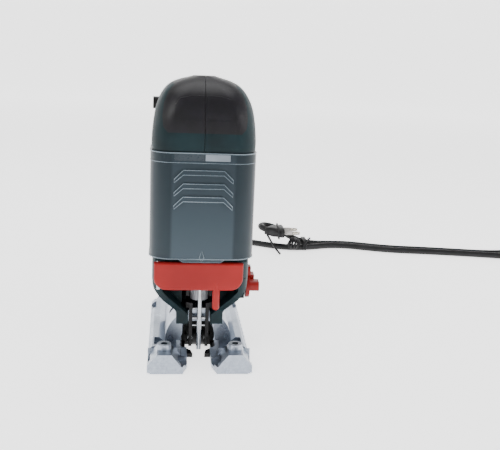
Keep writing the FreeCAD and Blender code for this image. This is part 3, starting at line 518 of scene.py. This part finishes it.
def smooth_line(points: Sequence[Point], steps: int = 6, closed: bool = False) -> list[Point]:
    """Catmull-Rom curve through points.

    Args:
        points: Points the curve passes through.
        steps: Pieces between two points.
        closed: Whether the curve is a loop.

    Returns:
        The finer list of points.
    """
    spots = [Vector(point) for point in points]
    count = len(spots)
    fine = []
    last = count if closed else count - 1
    for index in range(last):
        if closed:
            a, b, c, d = (spots[(index + k) % count] for k in (-1, 0, 1, 2))
        else:
            a, b, c, d = (spots[min(max(index + k, 0), count - 1)] for k in (-1, 0, 1, 2))
        for step in range(steps):
            t = step / steps
            fine.append(tuple(0.5 * (2 * b + (c - a) * t + (2 * a - 5 * b + 4 * c - d) * t ** 2
                                     + (3 * b - a - 3 * c + d) * t ** 3)))
    if not closed:
        fine.append(tuple(spots[-1]))
    return fine


# ------------------------------------------------------------------ cover trim


@dataclass(frozen=True)
class CoverTrim:
    """Moulded edges of the clear cover, painted pale as highlights: louvres, step, tab, corner lines and the
    top strip.
    """

    box: Paintbox
    front: float = -62.0
    half: float = 38.3
    bottom: float = 79.5
    top: float = 157.5
    corner: float = 15.0

    def rim(self, level: float, out: float = 0.1, reach: float = 40.0) -> list[Point]:
        """Line round the front of the cover at one height.

        Args:
            level: Height in millimetres.
            out: Distance outside the cover's face.
            reach: How far back the line runs on each side.

        Returns:
            Points from the left side to the right side.
        """
        half = self.half + out
        front = self.front - out
        radius = self.corner + out
        points = [(-half, front + reach, level)]
        for centre, start in ((-half + radius, math.pi), (half - radius, 1.5 * math.pi)):
            for step in range(CORNER_STEPS + 1):
                angle = start + step / CORNER_STEPS * math.pi / 2
                points.append((centre + radius * math.cos(angle),
                               front + radius + radius * math.sin(angle), level))
        points.append((half, front + reach, level))
        return points

    def build(self) -> None:
        """Make the edges and the strip."""
        # Painted highlights: pale tubes along the louvres, rims, tab and mould mark.
        edges = Tube()
        face = self.front - 1.25
        for level in (145.2, 135.5, 126.0):
            outline = [(-14.5, level), (14.5, level), (21.0, level - 6.5), (21.0, level - 9.0),
                       (14.5, level - 3.4), (-14.5, level - 3.4), (-21.0, level - 9.0), (-21.0, level - 6.5)]
            edges.run([(x, face, z) for x, z in outline], 0.3, closed=True)
        edges.run(self.rim(self.top - 0.3), 0.45)
        edges.run(self.rim(self.top - 7.2, 0.0), 0.22)
        edges.run(self.rim(self.bottom + 0.4), 0.45)
        tab = [(-17.5, self.bottom + 0.6), (-13.5, self.bottom - 2.0), (13.5, self.bottom - 2.0),
               (17.5, self.bottom + 0.6)]
        edges.run([(x, self.front - 0.05, z) for x, z in tab], 0.3)
        diamond = [(0.0, 86.5), (1.7, 81.0), (0.0, 77.8), (-1.7, 81.0)]
        edges.run([(x, self.front - 0.1, z) for x, z in diamond], 0.25, closed=True)
        trim = edges.finish("cover_edges")
        self.box.dress(trim, EDGE_LIGHT)
        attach(trim, "cover")
        self.strip()

    def strip(self) -> None:
        """Strip under the top edge, smoked on the left and painted lighter on the right as a reflection."""
        # The right-hand piece is the same plastic with a painted reflection.
        for side, x0, x1, finish in (("smoked", -21.0, 0.4, SMOKED), ("painted_reflection", 0.8, 18.5, REFLECTION_STRIP)):
            shape = bmesh.new()
            bmesh.ops.create_cube(shape, size=1.0, matrix=Matrix.Translation(
                Vector(((x0 + x1) / 2, self.front - 0.1, 154.2)) * MM) @ Matrix.Diagonal(
                    ((x1 - x0) * MM, 0.5 * MM, 4.6 * MM, 1.0)))
            bmesh.ops.bevel(shape, geom=shape.edges[:], affect="EDGES", offset=0.15 * MM, segments=2,
                            profile=0.5, material=-1)
            strip = piece_from(shape, f"cover_strip_{side}", smooth=False)
            self.box.dress(strip, finish)
            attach(strip, "cover")


# ------------------------------------------------------------------ trigger spring


@dataclass(frozen=True)
class TriggerCoil:
    """Coil spring over the trigger, wound at one length; the real one shortens as the trigger is pressed."""

    box: Paintbox
    y: float = 30.0
    low: float = 164.2
    high: float = 178.8
    radius: float = 3.2
    wire: float = 0.45
    turns: int = 8
    pressed_share: float = 0.585

    def build(self) -> None:
        """Wind the spring and hang it on the housing in place of the imported trigger_spring part."""
        coil = Tube(8)
        steps = WIRE_TURN_STEPS * self.turns
        rise = self.high - self.low - 2 * self.wire
        wound = []
        for step in range(steps + 1):
            angle = math.tau * step / WIRE_TURN_STEPS
            wound.append((self.radius * math.cos(angle), self.y + self.radius * math.sin(angle),
                          self.low + self.wire + rise * step / steps))
        coil.run(wound, self.wire)
        spring = coil.finish("trigger_coil")
        self.box.dress(spring, STEEL)
        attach(spring, "housing")
        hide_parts("trigger_spring")
        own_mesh(spring)


# ------------------------------------------------------------------ plug and ties


# Distance along the plug from its face, half width and half height of each section, in millimetres.
PLUG_SECTIONS: list[Point] = [
    (-22.0, 3.9, 3.9), (-19.0, 4.8, 4.6), (-16.5, 6.4, 5.2), (-13.5, 10.8, 5.8), (-10.0, 13.8, 5.6),
    (-6.5, 15.4, 5.5), (-2.5, 16.4, 6.2), (-0.8, 16.2, 6.2), (0.0, 15.6, 5.7),
]


@dataclass(frozen=True)
class Plug:
    """Two-pin contour plug lying on the cord, and the twisted wires that tie it there."""

    box: Paintbox
    x: float = 113.0
    y: float = 280.0
    z: float = 20.7
    sides: int = 36
    squareness: float = 0.62
    pin_apart: float = 19.0
    pin_r: float = 2.0
    pin_end: float = 17.6
    tip_r: float = 1.5
    tip_end: float = 18.8
    sleeve_r: float = 2.35
    sleeve_end: float = 10.0
    thin_wire_r: float = 0.75
    thick_wire_r: float = 1.25

    def body(self) -> bpy.types.Object:
        """Leaf-shaped body with a grip waist, lofted from rounded sections."""
        shape = bmesh.new()
        rings = []
        for offset, half_y, half_z in PLUG_SECTIONS:
            ring = []
            for corner in range(self.sides):
                angle = math.tau * corner / self.sides
                c, s = math.cos(angle), math.sin(angle)
                y = self.y + half_y * math.copysign(abs(c) ** self.squareness, c)
                z = self.z + half_z * math.copysign(abs(s) ** self.squareness, s)
                ring.append(shape.verts.new(Vector((self.x + offset, y, z)) * MM))
            rings.append(ring)
        for low, high in zip(rings, rings[1:]):
            for corner in range(self.sides):
                nxt = (corner + 1) % self.sides
                shape.faces.new((low[corner], low[nxt], high[nxt], high[corner]))
        shape.faces.new(rings[0][::-1])
        shape.faces.new(rings[-1])
        return piece_from(shape, "plug_body")

    def build(self) -> None:
        """Make the body, pins, sleeves and wires."""
        body = self.body()
        self.box.dress(body, BLACK)
        pins = Tube(20)
        sleeves = Tube(20)
        for side in (-1, 1):
            y = self.y + side * self.pin_apart / 2
            face, pin_end = self.x - 0.6, self.x + self.pin_end
            sleeves.run([(face, y, self.z), (self.x + self.sleeve_end, y, self.z)], self.sleeve_r)
            pins.run([(self.x + self.sleeve_end - 1.0, y, self.z), (pin_end, y, self.z)], self.pin_r)
            pins.run([(pin_end, y, self.z), (self.x + self.tip_end, y, self.z)], self.tip_r)
        metal = pins.finish("plug_pins")
        sleeve = sleeves.finish("plug_sleeves")
        self.box.dress(metal, NICKEL)
        self.box.dress(sleeve, PIN_SLEEVE)
        for part in (body, metal, sleeve):
            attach(part, "housing")
        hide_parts("plug")
        self.ties()

    def ties(self) -> None:
        """Twist wires: a loop round both strands, its knot, and a slanting free end."""
        wires = Tube(8)
        for shift in (0.0, 1.7, 3.3):
            loop = [(136.4 + shift, 265.2, 6.0), (136.6 + shift, 266.8, 11.4), (136.8 + shift, 276.0, 12.6),
                    (137.0 + shift, 286.6, 12.0), (136.8 + shift, 289.4, 7.0), (136.6 + shift, 287.4, 1.4),
                    (136.4 + shift, 277.0, 0.8), (136.2 + shift, 267.4, 1.2)]
            wires.run(smooth_line(loop, 5, closed=True), self.thin_wire_r, closed=True)
        for phase in (0.0, math.pi):
            twist = []
            for step in range(22):
                t = step / 21
                angle = phase + t * math.tau * 2.5
                twist.append((137.0 + 5.0 * t + 0.8 * math.cos(angle), 265.0 - 6.0 * t, 9.5 + 8.5 * t
                              + 0.8 * math.sin(angle)))
            wires.run(twist, 0.7)
        slant = [(94.0, 284.0, 17.0), (95.0, 276.0, 14.8), (98.0, 262.0, 10.2), (102.0, 249.0, 5.4),
                 (105.0, 242.0, 2.6)]
        wires.run(smooth_line(slant, 5), self.thick_wire_r)
        for turn in range(6):
            knot = []
            lean = turn * math.pi / 6
            for step in range(16):
                angle = math.tau * step / 16
                across = 6.6 * math.cos(angle)
                knot.append((125.0 + across * math.cos(lean) + 0.8 * math.sin(3 * angle),
                             268.5 + across * math.sin(lean), 8.3 + 6.4 * math.sin(angle)))
            wires.run(knot, self.thick_wire_r, closed=True)
        band = [(107.0, 267.0, 14.0), (106.0, 264.0, 20.5), (106.2, 268.0, 27.4), (106.6, 280.0, 27.6),
                (107.0, 292.0, 27.4), (107.2, 296.4, 20.6), (107.2, 292.0, 14.2), (107.0, 280.0, 14.0)]
        wires.run(smooth_line(band, 5, closed=True), self.thin_wire_r, closed=True)
        tie = wires.finish("twist_ties")
        self.box.dress(tie, WIRE_SKIN)
        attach(tie, "housing")
        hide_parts("cord_tie")


# ------------------------------------------------------------------ cord


CORD_D = 7.2
CORD_Z = 3.7
COIL_X = 490.0
COIL_Y = 262.0
COIL_OUTER = 49.8
COIL_TURNS = 3
COIL_GAP = 0.05
EXTRA_TURNS = 0.5
LEAD_IN_TURNS = 0.4
LEAD_OUT_TURNS = 0.2
CLIMB_TURNS = 0.5
DROP_TURNS = 0.3
DROP_HEIGHT = 2.5
CORD_ROUTE: list[Point] = [
    (0.0, 185.8, 80.0), (0.0, 205.0, 76.5), (0.0, 223.0, 67.5), (1.0, 238.0, 53.5),
    (4.0, 251.0, 37.5), (9.0, 263.5, 22.5), (17.5, 275.5, 11.0), (31.0, 287.5, 5.0),
    (52.0, 295.0, CORD_Z), (76.0, 291.0, CORD_Z), (98.0, 276.0, CORD_Z), (122.0, 267.5, CORD_Z),
    (147.0, 272.0, CORD_Z), (169.0, 281.0, CORD_Z), (193.0, 281.0, CORD_Z),
    (217.0, 271.0, CORD_Z), (247.0, 262.0, CORD_Z), (288.0, 258.0, CORD_Z),
    (332.0, 251.0, CORD_Z), (376.0, 243.0, CORD_Z), (417.0, 230.0, CORD_Z), (456.0, 216.0, CORD_Z),
]
RETURN_ROUTE: list[Point] = [
    (459.0, 310.0, CORD_Z), (434.0, 296.0, CORD_Z), (411.0, 275.0, CORD_Z),
    (385.0, 257.0, CORD_Z), (353.0, 255.5, CORD_Z), (315.0, 262.5, CORD_Z), (280.0, 268.0, CORD_Z),
    (248.0, 271.5, CORD_Z), (221.0, 279.5, CORD_Z), (197.0, 290.0, CORD_Z),
    (172.0, 290.5, CORD_Z), (151.0, 284.0, 5.0), (133.0, 284.5, 8.0), (118.0, 294.0, 14.5),
    (105.0, 301.0, 21.0), (92.0, 299.5, 24.0), (86.0, 290.5, 24.0), (91.0, 281.5, 22.5),
    (98.0, 280.0, 21.5),
]


@dataclass
class Cord:
    """The mains lead, from the strain relief through its coil to the plug."""

    box: Paintbox
    points_per_turn: int = 14

    def coil_points(self) -> list[Point]:
        """Work out the coil's turns: inwards on the floor, then outwards on top.

        Returns:
            Points of the coil in millimetres.
        """
        pitch = CORD_D + COIL_GAP
        steps = self.points_per_turn
        points = []
        total = 2 * COIL_TURNS + EXTRA_TURNS
        inner = COIL_OUTER - pitch * (COIL_TURNS - LEAD_IN_TURNS)
        for step in range(1, int(total * steps)):
            turns = step / steps
            if turns <= COIL_TURNS:
                radius = COIL_OUTER - pitch * max(0.0, turns - LEAD_IN_TURNS)
            else:
                radius = COIL_OUTER - pitch * max(0.0, total - turns - LEAD_OUT_TURNS)
            radius = max(radius, inner)
            climb = min(1.0, max(0.0, (turns - COIL_TURNS + CLIMB_TURNS / 2) / CLIMB_TURNS))
            drop = min(1.0, max(0.0, (turns - total + DROP_TURNS) / DROP_TURNS))
            angle = math.tau * turns - math.pi / 2
            height = CORD_Z + CORD_D * climb - DROP_HEIGHT * drop
            points.append((COIL_X + radius * math.cos(angle), COIL_Y + radius * math.sin(angle), height))
        return points

    def build(self) -> None:
        route = CORD_ROUTE + self.coil_points() + RETURN_ROUTE
        curve = bpy.data.curves.new("mains_lead", "CURVE")
        curve.dimensions = "3D"
        curve.bevel_depth = CORD_D / 2 * MM
        curve.bevel_resolution = 5
        curve.resolution_u = 6
        curve.use_fill_caps = True
        spline = curve.splines.new("NURBS")
        spline.points.add(len(route) - 1)
        for point, (x, y, z) in zip(spline.points, route):
            point.co = (x * MM, y * MM, z * MM, 1.0)
        spline.order_u = 3
        spline.use_endpoint_u = True
        lead = bpy.data.objects.new("mains_lead", curve)
        bpy.context.scene.collection.objects.link(lead)
        self.box.dress(lead, SHEATH)
        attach(lead, "housing")
        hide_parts("cord_tube", "cord_coil", "cord_return")
        log.info("mains lead with %d points", len(route))


# ------------------------------------------------------------------ studio


# Matt background paper with no highlight: white, with a painted glow that is bright behind the working area
# and dim in front of it.
PAPER = GlowingPaper("matt_studio_paper", "f6f6f6", 0.75)
SKY_STRENGTH = 0.3
LAMP_AIM: Point = (0.0, 0.0, 0.1)
# Name, place and edge length in metres, and power in watts of each soft light.
LAMPS: list[tuple[str, Point, float, float]] = [
    ("key", (-0.75, -0.75, 0.95), 0.5, 7.0),
    ("fill", (0.9, -0.6, 0.6), 0.5, 3.0),
    ("top", (0.0, 0.2, 1.2), 0.9, 8.0),
]


@dataclass
class Studio:
    """Pale floor, soft lights and the camera."""

    focal_mm: float = 54.0
    sensor_mm: float = 36.0
    camera_at: Point = (-25.0, -588.5, 227.5)
    yaw_deg: float = 6.43
    pitch_deg: float = 12.89
    roll_deg: float = 2.49
    sweep_radius: float = 4.0
    sweep_bend: float = 1.2
    sweep_height: float = 2.2

    def floor(self) -> None:
        """Lay a plain pale floor that sweeps up into a wall all round."""
        shape = bmesh.new()
        flat = self.sweep_radius - self.sweep_bend
        profile = [Vector((0.0, 0.0, 0.0)), Vector((flat, 0.0, 0.0))]
        for step in range(1, BEND_STEPS + 1):
            angle = step / BEND_STEPS * math.pi / 2
            profile.append(Vector((flat + self.sweep_bend * math.sin(angle), 0.0,
                                   self.sweep_bend - self.sweep_bend * math.cos(angle))))
        profile.append(Vector((self.sweep_radius, 0.0, self.sweep_height)))
        verts = [shape.verts.new(point) for point in profile]
        edges = [shape.edges.new(pair) for pair in zip(verts, verts[1:])]
        bmesh.ops.spin(shape, geom=verts + edges, cent=(0.0, 0.0, 0.0), axis=(0.0, 0.0, 1.0),
                       dvec=(0.0, 0.0, 0.0), angle=math.tau, steps=ROUND_STEPS, use_merge=True,
                       use_normal_flip=False, use_duplicate=False)
        bmesh.ops.remove_doubles(shape, verts=shape.verts, dist=1e-5)
        ground = piece_from(shape, "floor")
        ground.data.materials.append(PAPER.build())

    def light(self, name: str, at: Point, aim: Point, size: float, power: float) -> None:
        """Hang one square soft light that points at a place.

        Args:
            name: The light's name.
            at: Where it hangs, in metres.
            aim: What it points at, in metres.
            size: Edge length in metres.
            power: Power in watts.
        """
        lamp = bpy.data.lights.new(name, "AREA")
        lamp.shape = "SQUARE"
        lamp.size = size
        lamp.energy = power
        obj = bpy.data.objects.new(name, lamp)
        obj.location = at
        obj.rotation_euler = (Vector(aim) - Vector(at)).to_track_quat("-Z", "Y").to_euler()
        bpy.context.scene.collection.objects.link(obj)

    def sky(self, strength: float) -> None:
        """Fill the room with even white light.

        Args:
            strength: Brightness of that light.
        """
        world = bpy.data.worlds.new("studio_air")
        world.use_nodes = True
        background = world.node_tree.nodes["Background"]
        background.inputs["Color"].default_value = (1.0, 1.0, 1.0, 1.0)
        background.inputs["Strength"].default_value = strength
        bpy.context.scene.world = world

    def camera(self) -> None:
        """Place the camera from its yaw, pitch and roll."""
        yaw, pitch, roll = (math.radians(a) for a in (self.yaw_deg, self.pitch_deg, self.roll_deg))
        forward = Vector((math.sin(yaw) * math.cos(pitch), math.cos(yaw) * math.cos(pitch), -math.sin(pitch)))
        right = Vector((math.cos(yaw), -math.sin(yaw), 0.0))
        up = right.cross(forward)
        rolled_right = right * math.cos(roll) + up * math.sin(roll)
        rolled_up = up * math.cos(roll) - right * math.sin(roll)
        lens = bpy.data.cameras.new("camera")
        lens.lens = self.focal_mm
        lens.sensor_width = self.sensor_mm
        lens.sensor_fit = "HORIZONTAL"
        lens.clip_start = 0.01
        obj = bpy.data.objects.new("camera", lens)
        turn = Matrix((rolled_right, rolled_up, -forward)).transposed().to_4x4()
        obj.matrix_world = Matrix.Translation(Vector(self.camera_at) * MM) @ turn
        bpy.context.scene.collection.objects.link(obj)
        bpy.context.scene.camera = obj

    def build(self) -> None:
        """Set up everything round the object."""
        self.floor()
        self.sky(SKY_STRENGTH)
        for name, at, size, power in LAMPS:
            self.light(name, at, LAMP_AIM, size, power)
        self.camera()


def dress_nodes(frame: dict[str, Any], box: Paintbox) -> None:
    """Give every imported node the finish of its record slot.

    Args:
        frame: The loaded frame.
        box: The finishes.
    """
    slots = {entry["node"]: entry["material_slot"] for entry in frame["record"]["subparts"]}
    for name, obj in frame["nodes"].items():
        box.dress(obj, NODE_FINISH.get(name, SLOT_FINISH[slots[name]]))
        log.info("dressed %s", name)


def main() -> None:
    """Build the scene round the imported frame."""
    logging.basicConfig(level=logging.INFO, format="%(name)s: %(message)s")
    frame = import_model()
    box = Paintbox()
    dress_nodes(frame, box)
    Plug(box).build()
    Cord(box).build()
    CoverTrim(box).build()
    TriggerCoil(box).build()
    Studio().build()


if __name__ == "__main__":
    main()
